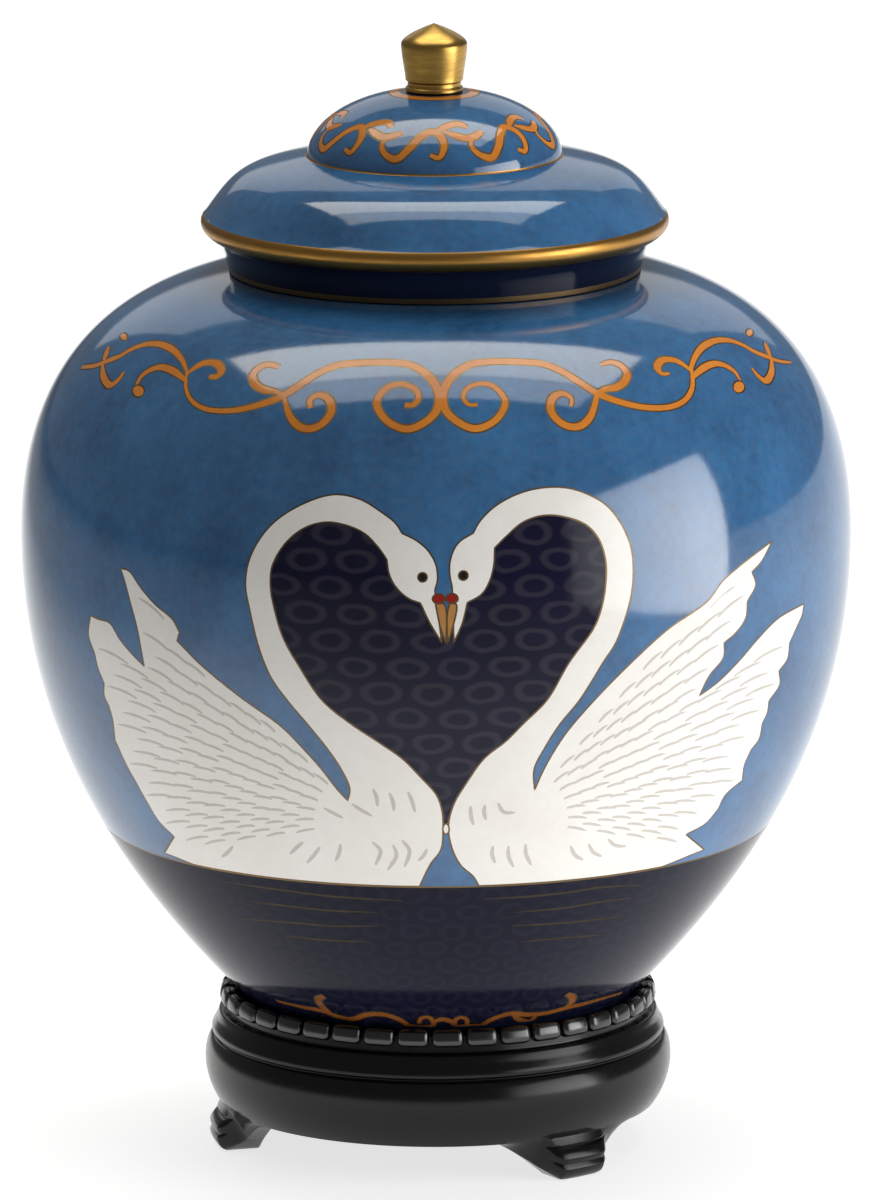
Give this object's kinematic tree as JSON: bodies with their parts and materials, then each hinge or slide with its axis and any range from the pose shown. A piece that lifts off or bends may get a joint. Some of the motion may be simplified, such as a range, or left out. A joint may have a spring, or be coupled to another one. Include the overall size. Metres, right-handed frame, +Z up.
{
  "type": "funeral urn",
  "caption": "Round-bodied funeral urn in enamelled copper with a domed lift-off lid, a brass knob and a low carved black stand.",
  "frame": {"origin": "on the floor under the axis of the urn, at the bottom centre of the whole part", "axes": "+Z up along the urn's axis; the picture on the body faces -Y; +X is on the right of someone who looks at the picture"},
  "size_m": [0.2, 0.2, 0.2739],
  "materials": {
    "vessel_enamel": "fired enamel on copper, blue over a navy base with a white, orange and navy picture in wire cells, glossy",
    "lid_enamel": "fired enamel on copper, blue with an orange scroll band, navy below a gilt rim, glossy",
    "brass": "turned and polished",
    "black_lacquer": "carved wood under glossy black lacquer"
  },
  "bodies": {
    "root": {"vessel": "vessel_enamel", "lid": "lid_enamel", "lid_finial": "brass", "stand": "black_lacquer"}
  },
  "joints": []
}
